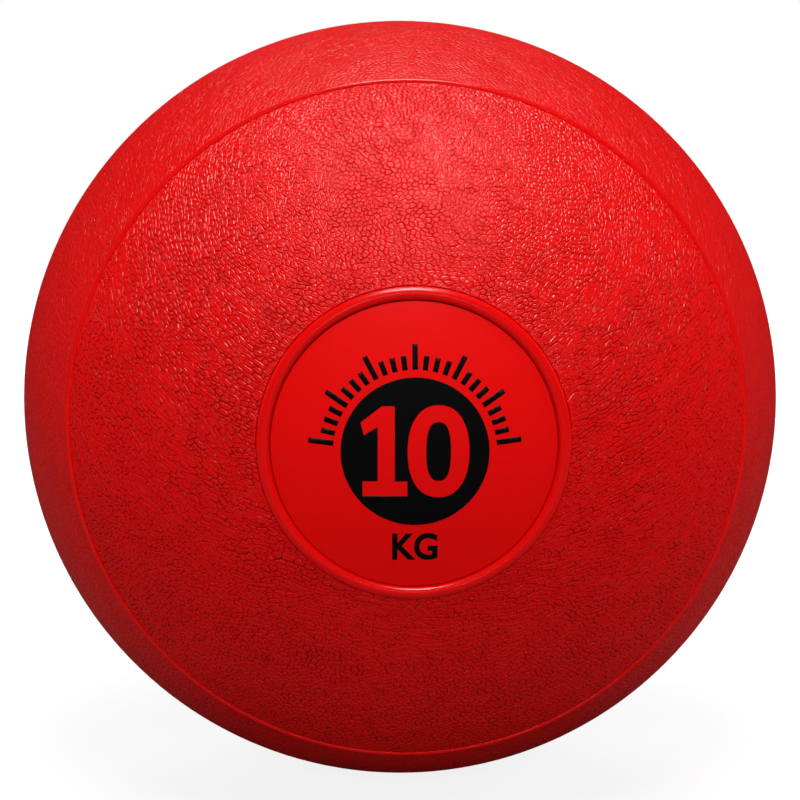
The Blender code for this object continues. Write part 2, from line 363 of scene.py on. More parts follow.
def change_angle(points, old, new):
    """Move unit vectors nearer to the axis or further off, by two tables of angles."""
    angle = np.interp(np.arccos(np.clip(points[:, 2], -1, 1)), old, new)
    across = points[:, :2] / np.linalg.norm(points[:, :2], axis=1)[:, None]
    return np.column_stack([across * np.sin(angle)[:, None], np.cos(angle)])


def unit(points):
    return points / np.linalg.norm(points, axis=1)[:, None]


print(f"30 degrees on the ball is {np.degrees(np.interp(math.radians(30), ball_angle, even_angle)):.1f}")

# %% [markdown]
# A spiral that turns by the golden angle at each step spreads points evenly over a ball. Each point
# is then jostled, further along the cells than across them, so that no rows are left to see. Some
# points are left out again, more of them in patches and away from the grain's axis, because a hide
# has fields of large and of small cells.

# %% Strew the cells' middles
CELL_AREA = 3.0 * MM * MM
JOSTLE = 0.34  # how far a point may stray, in spacings
SPARSE_SIZE = 11 * MM
SPARSEST = 0.08  # the share of points left out in the sparsest patches
PATCH_EDGE = 1.6  # how sharply the patches end
OPENING_ANGLES = np.radians([16, 42])
OPEN_SPARSE = 0.24  # the share left out as well where the grain is open
GOLDEN_ANGLE = math.pi * (3 - math.sqrt(5))
rng = np.random.default_rng(11)
noise.seed_set(11)  # noise_vector starts at a random place without it


def strewn_points(count):
    height = 1 - (2 * np.arange(count) + 1) / count
    turn = np.arange(count) * GOLDEN_ANGLE
    out = np.sqrt(1 - height**2)
    points = np.column_stack([out * np.cos(turn), out * np.sin(turn), height])
    along = np.column_stack([-np.sin(turn), np.cos(turn), 0 * turn])
    across = np.cross(points, along)
    stretch = np.sqrt(narrowness(np.arccos(height)))
    way = rng.random(count) * math.tau
    stray = JOSTLE * math.sqrt(4 * math.pi / count) * np.sqrt(rng.random(count))
    points += along * (stray * np.cos(way) * stretch)[:, None]
    points += across * (stray * np.sin(way) / stretch)[:, None]
    return unit(points)


def openness(angle):
    """How far the grain has opened up at an angle from its axis, from 0 to 1."""
    return np.interp(np.minimum(angle, math.pi - angle), OPENING_ANGLES, [0.0, 1.0])


def thinned(points):
    """Leave out points by chance, more of them in some patches and where the grain is open."""
    cloud = np.array([noise.noise(Vector(point) * BALL_RADIUS / SPARSE_SIZE) for point in points])
    out = SPARSEST * np.clip(0.5 + PATCH_EDGE * cloud, 0.0, 1.0)
    out += OPEN_SPARSE * openness(np.arccos(points[:, 2]))
    return points[rng.random(len(points)) > out]


middles = thinned(strewn_points(int(4 * math.pi * BALL_RADIUS**2 / CELL_AREA)))
print("strewn", len(middles), "cell middles")

# %% [markdown]
# Blender can join flat points into well-shaped triangles. A ball is laid flat for that by looking
# at it from a pole on its surface, which keeps circles round and so keeps the triangles right. The
# pole is the rear badge, which has no grain, so nothing is lost there.

# %% Join them, and take the dual
REAR_MARGIN = 0.985  # points nearer to the pole than this cosine are left out


def laid_flat(points, pole):
    """Where the points of a ball fall on a plane, seen from a pole."""
    side = np.array(Vector(pole).orthogonal().normalized())
    depth = 1 - points @ pole
    return np.column_stack([points @ side / depth, points @ np.cross(pole, side) / depth])


def dual_of(mesh):
    """The mesh whose faces are the old mesh's vertices, made by the Dual Mesh node."""
    tree = bpy.data.node_groups.new("take the dual", "GeometryNodeTree")
    tree.interface.new_socket("Geometry", in_out="INPUT", socket_type="NodeSocketGeometry")
    tree.interface.new_socket("Geometry", in_out="OUTPUT", socket_type="NodeSocketGeometry")
    start, end = tree.nodes.new("NodeGroupInput"), tree.nodes.new("NodeGroupOutput")
    dual = tree.nodes.new("GeometryNodeDualMesh")
    tree.links.new(start.outputs[0], dual.inputs[0])
    tree.links.new(dual.outputs[0], end.inputs[0])
    holder = placed("grain net", mesh)
    holder.modifiers.new("dual", "NODES").node_group = tree
    shown = holder.evaluated_get(bpy.context.evaluated_depsgraph_get())
    result = bpy.data.meshes.new_from_object(shown)
    bpy.data.objects.remove(holder, do_unlink=True)
    return result


rear = np.array([to_grain @ Vector((0, 1, 0))])
middles = middles[middles @ rear[0] < REAR_MARGIN]
even_middles = change_angle(middles, ball_angle, even_angle)
flat = laid_flat(even_middles, change_angle(rear, ball_angle, even_angle)[0])
joined = geometry.delaunay_2d_cdt([Vector(point) for point in flat.tolist()], [], [], 0, 1e-12, False)
triangles = bpy.data.meshes.new("joined middles")
triangles.from_pydata(even_middles.tolist(), [], joined[2])
net = dual_of(triangles)
print("net of", len(net.polygons), "cells")

# %% [markdown]
# Creases in leather don't meet like the walls of a honeycomb. One runs straight through and the
# other stops against it, so the eye follows long folds. At each corner the two creases that are
# already most nearly in line are found, and the corner is moved towards the line between their far
# ends, a few times over. The folds are straighter where the cells are narrow.

# %% Straighten the folds
STRAIGHTENINGS = 4
STRAIGHTEST = 0.55  # how far a corner moves each time where the cells are narrowest
LEAST_STRAIGHT = 0.25
NEAREST_END = 0.25  # a corner keeps this share of the way from the far ends


def straightened(corners, edges):
    both = np.concatenate([edges, edges[:, ::-1]])
    both = both[np.argsort(both[:, 0], kind="stable")]
    owner, first, count = np.unique(both[:, 0], return_index=True, return_counts=True)
    inner = owner[count == 3]
    ends = both[first[count == 3][:, None] + np.arange(3), 1]
    ways = corners[ends] - corners[inner][:, None]
    ways /= np.linalg.norm(ways, axis=2)[:, :, None]
    pairs = np.array([[0, 1], [1, 2], [2, 0]])
    in_line = -(ways[:, pairs[:, 0]] * ways[:, pairs[:, 1]]).sum(axis=2)
    best = pairs[in_line.argmax(axis=1)]
    near, far = np.take_along_axis(ends, best, axis=1).T
    narrow = (narrowness(np.arccos(np.clip(corners[inner, 2], -1, 1))) - 1) / (NARROWEST - 1)
    move = (LEAST_STRAIGHT + (STRAIGHTEST - LEAST_STRAIGHT) * narrow)[:, None]
    for _ in range(STRAIGHTENINGS):
        line = corners[far] - corners[near]
        along = ((corners[inner] - corners[near]) * line).sum(axis=1) / (line * line).sum(axis=1)
        target = corners[near] + line * np.clip(along, NEAREST_END, 1 - NEAREST_END)[:, None]
        corners[inner] += move * (target - corners[inner])
        corners = unit(corners)
    return corners


corners = np.zeros(3 * len(net.vertices))
net.vertices.foreach_get("co", corners)
corners = change_angle(unit(corners.reshape(-1, 3)), even_angle, ball_angle)
edges = np.zeros(2 * len(net.edges), int)
net.edges.foreach_get("vertices", edges)
corners = straightened(corners, edges.reshape(-1, 2))
print("straightened", len(corners), "corners")

# %% [markdown]
# Now the net goes onto the ball. A slow wander, a millimetre or so sideways, takes the last of the
# regularity away. Corners that nearly touch are merged, which gives the crossings where four
# creases meet. The panels have too many cells for one piece each, so they are made as zones that
# meet along the bottoms of creases, where nobody can see it. No corners are merged by those
# borders, because a border that touches itself can't be closed.

# %% Lay the net on the ball
WANDER_SIZE = 15 * MM
WANDER = 1.2 * MM
SHORTEST_CREASE = 0.40 * MM
BORDER = 4 * MM
BELT_SHARE = 0.4  # how deep the belt's creases are, next to the caps'
PANELS = (  # name, zones, first and last angle, share of the full depth, node
    ("front_cover", 3, CAP_INNER, CAP_OUTER, 1.0, "front_cover_panel"),
    ("rear_cover", 3, 180 - CAP_OUTER, 180 - CAP_INNER, 1.0, "rear_cover_panel"),
    ("belt", 5, BELT_INNER, BELT_OUTER, BELT_SHARE, "belt_cover_panel"),
)


def circle_height(angle, radius):
    """How far along Y the circle at this angle lies."""
    return -radius * math.cos(math.radians(angle))


def spread(first, last, steps):
    """Evenly spaced values from first to last, both of them included."""
    return [first + (last - first) * count / steps for count in range(steps + 1)]


def zone_borders(zones, first, last):
    """Heights along Y that part a panel into zones of equal area, with its two rims."""
    return spread(circle_height(first, BALL_RADIUS), circle_height(last, BALL_RADIUS), zones)


meetings = [height for _, zones, first, last, _, _ in PANELS
            for height in zone_borders(zones, first, last)[1:-1]]


def net_on_ball():
    model = bmesh.new()
    model.from_mesh(net)
    for vert, corner in zip(model.verts, corners):
        place = from_grain @ Vector(corner) * BALL_RADIUS
        place += WANDER * noise.noise_vector(place / WANDER_SIZE)
        vert.co = place.normalized() * BALL_RADIUS
    free = [v for v in model.verts if all(abs(v.co.y - height) > BORDER for height in meetings)]
    bmesh.ops.remove_doubles(model, verts=free, dist=SHORTEST_CREASE)
    return model


whole_net = net_on_ball()
print("on the ball:", len(whole_net.verts), "corners,", len(whole_net.faces), "cells")

# %% [markdown]
# A panel is the part of the net between two planes across the Y axis. Each cell is inset, which
# leaves a band round it, and the net itself is pushed in. The band becomes the slope of the crease,
# and the cell stands between creases. A second inset on the caps' cells is pushed in a little, which
# gives each cell a dished top and a rounded rim that catches the light. The bottoms of the creases
# stay sharp. Each cell leans and rises a little by chance, which breaks up the highlight as real
# grain does. The creases are deepest along a few long folds.

# %% Cut a panel out of the net and raise its cells
HALF_CREASE = 0.46 * MM
CREASE_SHARE = 0.72  # of the width that a cell could lose
CREASE_DEPTH = 0.68 * MM
TIGHT_DEPTH = 0.62  # how deep the creases are where the grain is closed, next to open
RIM_WIDTH = 0.34 * MM
DISH = 0.08 * MM
LEAN = 0.02
RISE = 0.012 * MM
ROUNDING = 0.5
INSET_STEPS = 5
FOLD_SIZE = 8 * MM
FOLD_STRETCH = 3.0
PATCH_SIZE = 28 * MM
SHALLOWEST, USUAL_DEPTH, FOLD_DEEPER, PATCH_DEEPER = 0.45, 0.62, 0.5, 0.25


def fold_depth(place):
    """How deep a crease is here, from shallow to deep."""
    local = to_grain @ place
    local.z *= FOLD_STRETCH
    fold = max(0.0, 1 - 4 * abs(noise.noise(local / FOLD_SIZE)))
    patch = noise.noise(place / PATCH_SIZE)
    depth = USUAL_DEPTH + FOLD_DEEPER * fold + PATCH_DEEPER * patch
    tight = 1 - openness(math.acos(max(-1.0, min(1.0, (to_grain @ place).normalized().z))))
    return min(1.0, max(SHALLOWEST, depth)) * (1 - (1 - TIGHT_DEPTH) * tight)


def cut_panel(first, last):
    """The net between two circles, cut straight across its cells."""
    model = whole_net.copy()
    for angle, side in ((first, -1), (last, 1)):
        bmesh.ops.bisect_plane(
            model, geom=model.verts[:] + model.edges[:] + model.faces[:], dist=0.02 * MM,
            plane_co=(0, circle_height(angle, BALL_RADIUS), 0), plane_no=(0, side, 0),
            clear_outer=True)
    bmesh.ops.dissolve_degenerate(model, edges=model.edges, dist=0.05 * MM)
    return model


def keep_zone(model, low, high):
    """Delete the cells whose middle isn't between two heights along Y."""
    middles = [(face, face.calc_center_median().y) for face in model.faces]
    outside = [face for face, height in middles if not low < height < high]
    bmesh.ops.delete(model, geom=outside, context="FACES")


def inset_cells(model, cells, width):
    """Inset the cells by a width, or by less where they are too narrow for it."""
    fit = [min(1.0, CREASE_SHARE * face.calc_area() / face.calc_perimeter() / width) for face in cells]
    for step in range(1, INSET_STEPS + 1):
        part = [face for face, share in zip(cells, fit) if int(share * INSET_STEPS) == step]
        bmesh.ops.inset_individual(
            model, faces=part, thickness=width * step / INSET_STEPS, depth=0.0,
            use_even_offset=False)


def set_height(vert, up):
    """Put a corner at a height over the ball."""
    vert.co = vert.co.normalized() * (BALL_RADIUS + up)


def round_off(cells):
    """Draw each corner of a cell towards the middle of its neighbours."""
    for face in cells:
        places = [vert.co.copy() for vert in face.verts]
        for count, vert in enumerate(face.verts):
            chord = (places[count - 1] + places[(count + 1) % len(places)]) / 2
            vert.co = vert.co.lerp(chord, ROUNDING / 2)


def raise_cells(model, share):
    """Push the creases in, to a share of their full depth, and leave the cells standing."""
    # The crease layer sets the material's painted shade, and the rim layer its painted highlight.
    crease = model.verts.layers.float.new("crease")
    rim = model.verts.layers.float.new("rim")
    cells = model.faces[:]
    bottoms = model.edges[:]
    leans = rng.normal(size=(len(cells), 3)) * LEAN * share
    rises = rng.normal(size=len(cells)) * RISE * share
    for vert in model.verts:
        vert[crease], vert[rim] = share * fold_depth(vert.co), share
        set_height(vert, -vert[crease] * CREASE_DEPTH)
    inset_cells(model, cells, HALF_CREASE)
    round_off(cells)
    for face, lean, rise in zip(cells, leans.tolist(), rises.tolist()):
        middle, lean = face.calc_center_median(), Vector(lean)
        for vert in face.verts:
            vert[crease], vert[rim] = 0.0, share
            set_height(vert, rise + (vert.co - middle).dot(lean))
    if share == 1:
        inset_cells(model, cells, RIM_WIDTH)
        for face in cells:
            for vert in face.verts:
                vert[rim] = 0.0
                vert.co -= vert.co.normalized() * DISH
    for edge in model.edges:
        edge.smooth = True
    for edge in bottoms:
        edge.smooth = False


print(f"a cell's crease is {2000 * HALF_CREASE:.2f} mm wide and {1000 * CREASE_DEPTH:.2f} mm deep")

# %% [markdown]
# A panel is not paper: it has an edge as thick as the cover, and an inside. The edges of the net
# are extruded inwards. The inside is plain, so it is a coarse band turned about Y, and bridging
# joins it to the dense edges.

# %% Give a panel its edges and its inside
PLAIN_SEGMENTS = 96
PLAIN_STEPS = 6
INSIDE_MARGIN = 1.8  # degrees between a panel's edge and its plain inside
RIM_REACH = 8 * MM  # an open edge this near to a rim's height belongs to it


def profile_point(radius, angle):
    """A point of a profile in the plane of Y and Z."""
    turn = math.radians(angle)
    return Vector((0.0, -radius * math.cos(turn), radius * math.sin(turn)))


def turned(points, segments, closed):
    """The shape that a line of points makes when it is turned about Y."""
    model = bmesh.new()
    verts = [model.verts.new(point) for point in points]
    pairs = list(zip(verts, verts[1:]))
    if closed:
        pairs.append((verts[-1], verts[0]))
    edges = [model.edges.new(pair) for pair in pairs]
    bmesh.ops.spin(
        model, geom=verts + edges, cent=(0, 0, 0), axis=(0, 1, 0), angle=math.tau,
        steps=segments, use_merge=True)
    bmesh.ops.remove_doubles(model, verts=model.verts, dist=1e-6)
    bmesh.ops.recalc_face_normals(model, faces=model.faces)
    return model


def as_mesh(model, name):
    mesh = bpy.data.meshes.new(name)
    model.to_mesh(mesh)
    model.free()
    return mesh


def sunk(items, radius):
    """Put the corners among these items at a distance from the ball's centre, and return them."""
    verts = [item for item in items if isinstance(item, bmesh.types.BMVert)]
    for vert in verts:
        vert.co = vert.co.normalized() * radius
    return verts


def open_rim(model, height):
    """The open edges nearest to this height along Y."""
    rim = [edge for edge in model.edges if edge.is_boundary]
    return [edge for edge in rim if abs(edge.verts[0].co.y - height) < RIM_REACH]


def close_panel(model, first, last):
    """Extrude the two rims inwards and join them to a plain inside."""
    crease = model.verts.layers.float["crease"]
    rims = [edge for edge in model.edges if edge.is_boundary]
    # A panel's cut edges count as deep in a crease, so they get the full painted shade.
    for vert in sunk(bmesh.ops.extrude_edge_only(model, edges=rims)["geom"], COVER_INSIDE):
        vert[crease] = 1.0
    model.normal_update()
    for edge in model.edges:
        low = min(vert.co.length for vert in edge.verts)
        steep = [abs(face.normal.dot(face.calc_center_median().normalized())) < 0.1
                 for face in edge.link_faces]
        if low > COVER_INSIDE + MM and any(steep) and not all(steep):
            edge.smooth = False
    angles = spread(first + INSIDE_MARGIN, last - INSIDE_MARGIN, PLAIN_STEPS)
    inside = turned([profile_point(COVER_INSIDE, angle) for angle in angles], PLAIN_SEGMENTS, False)
    model.from_mesh(as_mesh(inside, "plain inside"))
    for angle in (first, last):
        bmesh.ops.bridge_loops(model, edges=open_rim(model, circle_height(angle, COVER_INSIDE)))
    bmesh.ops.recalc_face_normals(model, faces=model.faces)


def finished(name, model, material, slot, *nodes):
    """Make the object, tell the frame what it rides on, and hide the solids that it stands for."""
    loose = sum(not edge.is_manifold for edge in model.edges)
    for face in model.faces:
        face.smooth = True
    mesh = as_mesh(model, name)
    mesh.materials.append(material)
    thing = placed(name, mesh)
    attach(thing, "root")
    if nodes:
        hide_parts(*nodes)
    count = sum(len(face.vertices) - 2 for face in mesh.polygons)
    print(f"{name}: {count} triangles, {loose} open edges")
    return thing


print(f"the cover is {1000 * (BALL_RADIUS - COVER_INSIDE):.1f} mm thick")

# %% [markdown]
# Now the three panels are made, zone by zone. The belt's grain is shallower than the caps'. Under
# the ball the rubber is squashed flat by its weight.


# %% The cover's panels
def make_panel(name, zones, first, last, share, node):
    heights = zone_borders(zones, first, last)
    angles = [math.degrees(math.acos(-height / BALL_RADIUS)) for height in heights]
    heights[0] -= BORDER
    heights[-1] += BORDER
    for zone in range(zones):
        model = cut_panel(first, last)
        keep_zone(model, heights[zone], heights[zone + 1])
        raise_cells(model, share)
        close_panel(model, angles[zone], angles[zone + 1])
        for vert in model.verts:
            vert.co.z = max(vert.co.z, REST_HEIGHT)
        finished(f"{name}_{zone + 1}", model, cover_finish, "cover_rubber", node)


for settings in PANELS:
    make_panel(*settings)

# %% [markdown]
# The beads are plain turned shapes: a round top on a foot that goes down between the panels. Their
# tops are a little fuller than a half circle, as a mould's groove is.

# %% Beads: the ring round each badge and the rib on each seam
BEAD_SEGMENTS = 288
BEAD_STEPS = 18
FOOT_SINK = 0.45 * MM
FULLNESS = 0.95


def bead_points(first, last, top):
    """A closed profile: a full round top over a foot as deep as the cover."""
    base = BALL_RADIUS - FOOT_SINK
    middle, half = (first + last) / 2, (last - first) / 2
    points = [profile_point(COVER_INSIDE, first)]
    for count in range(BEAD_STEPS + 1):
        turn = math.pi * count / BEAD_STEPS
        rise = math.sin(turn) ** FULLNESS
        across = math.copysign(abs(math.cos(turn)) ** FULLNESS, math.cos(turn))
        points.append(profile_point(base + (top - base) * rise, middle - half * across))
    points.append(profile_point(COVER_INSIDE, last))
    return points


def make_bead(name, first, last, top, node):
    model = turned(bead_points(first, last, top), BEAD_SEGMENTS, True)
    return finished(name, model, bead_finish, "badge_rubber", node)


make_bead("front_ring", RING_INNER, RING_OUTER, RING_TOP, "front_badge_ring")
make_bead("rear_ring", 180 - RING_OUTER, 180 - RING_INNER, RING_TOP, "rear_badge_ring")
make_bead("front_rib", RIB_INNER, RIB_OUTER, RIB_TOP, "front_seam_rib")
make_bead("rear_rib", 180 - RIB_OUTER, 180 - RIB_INNER, RIB_TOP, "rear_seam_rib")

# %% [markdown]
# The badge discs are turned too. Their edge rolls down into the groove at the ring's foot. The rear
# disc has a hole for the valve, with a rolled lip.

# %% Badge discs
DISC_SEGMENTS = 288
DISC_STEPS = 20
ROLL = 0.18  # the width of the rolled edge, in degrees
ROLL_STEPS = 6
NECK_RADIUS = 7.0 * MM
HOLE_GAP = 0.3 * MM


def rolled_edge(radius, edge, inwards):
    """Points that turn down over an edge, a quarter of a circle. inwards is -1 or 1."""
    points = []
    drop = BALL_RADIUS * math.radians(ROLL)
    for count in range(ROLL_STEPS + 1):
        turn = math.pi / 2 * count / ROLL_STEPS
        angle = edge + inwards * ROLL * (1 - math.sin(turn))
        points.append(profile_point(radius - drop * (1 - math.cos(turn)), angle))
    return points


def disc_points(hole_edge):
    """The profile of a disc from its middle, or its hole, to its edge and back."""
    body = spread(hole_edge, DISC_EDGE - ROLL, DISC_STEPS)[:-1]
    outer = [profile_point(DISC_RADIUS, angle) for angle in body]
    if hole_edge:
        outer[:1] = reversed(rolled_edge(DISC_RADIUS, hole_edge, 1))
    outer += rolled_edge(DISC_RADIUS, DISC_EDGE, -1)
    inner = [profile_point(COVER_INSIDE, angle) for angle in (DISC_EDGE, DISC_EDGE / 2, hole_edge)]
    return outer + inner


def make_disc(name, hole_radius, facing, node):
    edge = math.degrees(math.asin(hole_radius / DISC_RADIUS))
    points = [Vector((0, facing * point.y, point.z)) for point in disc_points(edge)]
    model = turned(points, DISC_SEGMENTS, hole_radius > 0)
    return finished(name, model, disc_finish, "badge_rubber", node)


make_disc("front_disc", 0.0, 1, "front_badge_disc")
make_disc("rear_disc", NECK_RADIUS + HOLE_GAP, -1, "rear_badge_disc")

# %% [markdown]
# The weight is printed on the front badge in one colour: a black disc with the number left out, so
# the red rubber shows through, the unit under it, and a row of plain marks over it, as on a dial.
# Everything is drawn flat first. A 2D curve fills itself and takes an outline inside another as a
# hole, which is just what the number needs.

# %% Draw the print flat
PRINT_DROP = 1.5 * MM  # the print sits this far under the badge's middle
INK_DISC = 23.6 * MM
DIGIT_HEIGHT = 29.2 * MM
CIRCLE_POINTS = 128
ONE = {
    "stem_left": -11.9 * MM, "stem": 5.4 * MM, "flag": 5.4 * MM, "foot_left": -16.7 * MM,
    "foot_right": -2.5 * MM, "foot": 4.8 * MM}
ZERO_MIDDLE = (7.35 * MM, 0.2 * MM)
ZERO_OUTSIDE = (9.8 * MM, 14.7 * MM, 2.25)  # half width, half height, fullness
ZERO_INSIDE = (3.9 * MM, 9.4 * MM, 2.6)
MARK_STEP = 7.0  # degrees
MARKS = 25
MARK_START = 26 * MM
MARK_WIDTH = 1.7 * MM
LONG_MARK = 8.0 * MM  # every fourth
SHORT_MARK = 4.5 * MM
LETTER_WEIGHT = 0.028


def oval(x, z, half_width, half_height, fullness=2.0):
    """Points of an oval: a fullness of 2 is an ellipse, and more is squarer."""
    points = []
    for count in range(CIRCLE_POINTS):
        turn = math.tau * count / CIRCLE_POINTS
        across, up = math.cos(turn), math.sin(turn)
        across = math.copysign(abs(across) ** (2 / fullness), across)
        up = math.copysign(abs(up) ** (2 / fullness), up)
        points.append((x + half_width * across, z + half_height * up))
    return points


def digit_one(stem_left, stem, flag, foot_left, foot_right, foot):
    """A one with a slanted flag and a flat foot."""
    top, bottom = DIGIT_HEIGHT / 2, -DIGIT_HEIGHT / 2 + 0.5 * MM
    stem_right = stem_left + stem
    return [
        (stem_right, top), (stem_left + 0.25 * stem, top), (stem_left - flag, top - 0.95 * flag),
        (stem_left - 0.8 * flag, top - 1.7 * flag), (stem_left, top - 1.2 * flag),
        (stem_left, bottom + foot), (foot_left, bottom + foot), (foot_left, bottom),
        (foot_right, bottom), (foot_right, bottom + foot), (stem_right, bottom + foot)]


def dial_mark(angle, inner, outer, width):
    """A bar that points away from the middle, this far round from the top."""
    turn = math.radians(angle)
    out = Vector((math.sin(turn), math.cos(turn)))
    side = Vector((out.y, -out.x)) * width / 2
    return [tuple(out * distance + way * side) for distance, way in
            ((inner, -1), (outer, -1), (outer, 1), (inner, 1))]


outlines = [
    oval(0, 0, INK_DISC, INK_DISC), digit_one(**ONE),
    oval(*ZERO_MIDDLE, *ZERO_OUTSIDE), oval(*ZERO_MIDDLE, *ZERO_INSIDE)]
for count in range(MARKS):
    length = SHORT_MARK if count % 4 else LONG_MARK
    angle = MARK_STEP * (count - (MARKS - 1) / 2)
    outlines.append(dial_mark(angle, MARK_START, MARK_START + length, MARK_WIDTH))


def filled(curve):
    """The flat mesh of a 2D curve or of lettering."""
    curve.dimensions = "2D"
    curve.fill_mode = "BOTH"
    holder = placed("flat print", curve)
    shown = holder.evaluated_get(bpy.context.evaluated_depsgraph_get())
    mesh = bpy.data.meshes.new_from_object(shown)
    bpy.data.objects.remove(holder, do_unlink=True)
    return mesh


drawing = bpy.data.curves.new("print outlines", "CURVE")
for outline in outlines:
    spline = drawing.splines.new("POLY")
    spline.points.add(len(outline) - 1)
    for point, (x, z) in zip(spline.points, outline):
        point.co = (x, z, 0, 1)
    spline.use_cyclic_u = True
flat_print = filled(drawing)

lettering = bpy.data.curves.new("unit", "FONT")
lettering.body = "KG"
lettering.offset = LETTER_WEIGHT
flat_unit = filled(lettering)
print("flat print:", len(flat_print.polygons), "faces, unit:", len(flat_unit.polygons), "faces")

# %% [markdown]
# Then the flat shapes are wrapped round the badge. They are cut along a fine grid first, because
# big flat faces can't follow a curve. The ink is a film: it gets a thickness, and lies just on the
# rubber.

# %% Wrap the print round the badge
INK = 0.05 * MM
INK_LIFT = 0.01 * MM
GRID = 1.5 * MM
UNIT_WIDTH = 14.5 * MM
UNIT_HEIGHT = 9.1 * MM
UNIT_MIDDLE = -30.8 * MM


def cut_along_grid(model):
    lines = int(max(max(abs(vert.co.x), abs(vert.co.y)) for vert in model.verts) / GRID) + 1
    for normal in (Vector((1, 0, 0)), Vector((0, 1, 0))):
        for count in range(-lines, lines + 1):
            bmesh.ops.bisect_plane(
                model, geom=model.verts[:] + model.edges[:] + model.faces[:], dist=1e-7,
                plane_co=normal * GRID * count, plane_no=normal)


def wrap_round_badge(model, radius):
    """Put flat points onto the front badge, at this distance from the ball's centre."""
    for vert in model.verts:
        across, up = vert.co.x, vert.co.y - PRINT_DROP
        vert.co = (across, -math.sqrt(radius**2 - across**2 - up**2), up)


def fit_into(model, width, height, middle):
    """Scale and move flat lettering to a size and place."""
    low = Vector([min(vert.co[axis] for vert in model.verts) for axis in range(3)])
    high = Vector([max(vert.co[axis] for vert in model.verts) for axis in range(3)])
    bmesh.ops.translate(model, verts=model.verts, vec=-(low + high) / 2)
    bmesh.ops.scale(
        model, verts=model.verts, vec=(width / (high.x - low.x), height / (high.y - low.y), 1))
    bmesh.ops.translate(model, verts=model.verts, vec=(0, middle, 0))


unit_model = bmesh.new()
unit_model.from_mesh(flat_unit)
fit_into(unit_model, UNIT_WIDTH, UNIT_HEIGHT, UNIT_MIDDLE)
ink = bmesh.new()
ink.from_mesh(flat_print)
ink.from_mesh(as_mesh(unit_model, "unit in place"))
bmesh.ops.remove_doubles(ink, verts=ink.verts, dist=1e-6)
cut_along_grid(ink)
wrap_round_badge(ink, DISC_RADIUS + INK_LIFT)
sunk(bmesh.ops.extrude_face_region(ink, geom=ink.faces[:])["geom"], DISC_RADIUS + INK_LIFT + INK)
bmesh.ops.recalc_face_normals(ink, faces=ink.faces)
finished("front_print", ink, ink_finish, "print_ink")

# %% [markdown]
# The valve comes up through the rear disc. Its housing and the plug in it are turned about Y, like
# everything else, from profiles with sharp corners. Easing cuts each corner off with a short curve,
# which is the rounded edge that moulded rubber has. The plug's face is dished, and a small funnel
# in it leads the pump's needle to the hole.


# %% The valve's mouth and its plug
VALVE_SEGMENTS = 96
EASE_STEPS = 4
EASED = 0.45 * MM
VALVE_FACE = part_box("valve_housing")[1].y
HOUSING_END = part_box("valve_housing")[0].y
PLUG_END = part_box("valve_core")[0].y
MOUTH_RADIUS = 5.2 * MM
MOUTH_DEPTH = 2.2 * MM
NECK_BORE = 4.0 * MM
AIR_HOLE = 1.2 * MM
FLANGE_RADIUS = 16.0 * MM
FLANGE_BEND = 1.0 * MM  # how far the flange curves down towards its edge
FLANGE_THICKNESS = 2.0 * MM
FLANGE_TAPER = 0.3 * MM
NEEDLE_RADIUS = 0.8 * MM
NEEDLE_LENGTH = 28.2 * MM
FUNNEL_RADIUS = 1.7 * MM
FUNNEL_DEPTH = 1.4 * MM
PLUG_DISH = 0.4 * MM
PLUG_RIM = 0.6 * MM


def eased(points, closed):
    """A profile with each corner cut off by a short curve."""
    curved = []
    for count, corner in enumerate(points):
        if not closed and count in (0, len(points) - 1):
            curved.append(corner)
            continue
        before, after = points[count - 1], points[(count + 1) % len(points)]
        start = corner + (before - corner) * min(0.4, EASED / (before - corner).length)
        end = corner + (after - corner) * min(0.4, EASED / (after - corner).length)
        for step in range(EASE_STEPS + 1):
            share = step / EASE_STEPS
            curved.append(start.lerp(corner, share).lerp(corner.lerp(end, share), share))
    return curved


def make_turned(name, profile, closed, finish, slot, node):
    points = [Vector((0.0, along, out)) for along, out in profile]
    model = turned(eased(points, closed), VALVE_SEGMENTS, closed)
    return finished(name, model, finish, slot, node)


flange_top = HOUSING_END + FLANGE_BEND + FLANGE_THICKNESS
bore_end = PLUG_END - HOLE_GAP
make_turned("valve_mouth", [
    (VALVE_FACE, MOUTH_RADIUS), (VALVE_FACE, NECK_RADIUS), (flange_top, NECK_RADIUS),
    (flange_top - FLANGE_BEND, FLANGE_RADIUS), (HOUSING_END, FLANGE_RADIUS - FLANGE_TAPER),
    (HOUSING_END + FLANGE_BEND, NECK_RADIUS), (HOUSING_END + FLANGE_BEND, AIR_HOLE),
    (bore_end, AIR_HOLE), (bore_end, NECK_BORE), (VALVE_FACE - MOUTH_DEPTH, NECK_BORE),
    (VALVE_FACE - MOUTH_DEPTH, MOUTH_RADIUS),
], True, valve_finish, "butyl_rubber", "valve_housing")
head = MOUTH_RADIUS - HOLE_GAP
stem = NECK_BORE - HOLE_GAP
under_head = VALVE_FACE - MOUTH_DEPTH + HOLE_GAP
funnel_top = VALVE_FACE - PLUG_DISH
make_turned("valve_plug", [
    (PLUG_END, 0.0), (PLUG_END, stem), (under_head, stem), (under_head, head), (VALVE_FACE, head),
    (VALVE_FACE, head - PLUG_RIM), (funnel_top, FUNNEL_RADIUS),
    (funnel_top - FUNNEL_DEPTH, NEEDLE_RADIUS), (VALVE_FACE - NEEDLE_LENGTH, NEEDLE_RADIUS),
    (VALVE_FACE - NEEDLE_LENGTH, 0.0),
], False, plug_finish, "valve_rubber", "valve_core")

# %% [markdown]
# The layers inside the ball keep the solids' own shapes, because nothing shows them. They still get
# the finish that they would have if the ball were cut open: crumb rubber, wound thread and butyl.

# %% Inner layers
for node, finish in (
    ("front_ballast_shell", ballast_finish), ("rear_ballast_shell", ballast_finish),
    ("thread_winding", thread_finish), ("bladder", butyl_finish), ("valve_patch", butyl_finish),
):
    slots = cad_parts[node].data.materials
    slots.clear()
    slots.append(finish)
print("inner layers dressed")

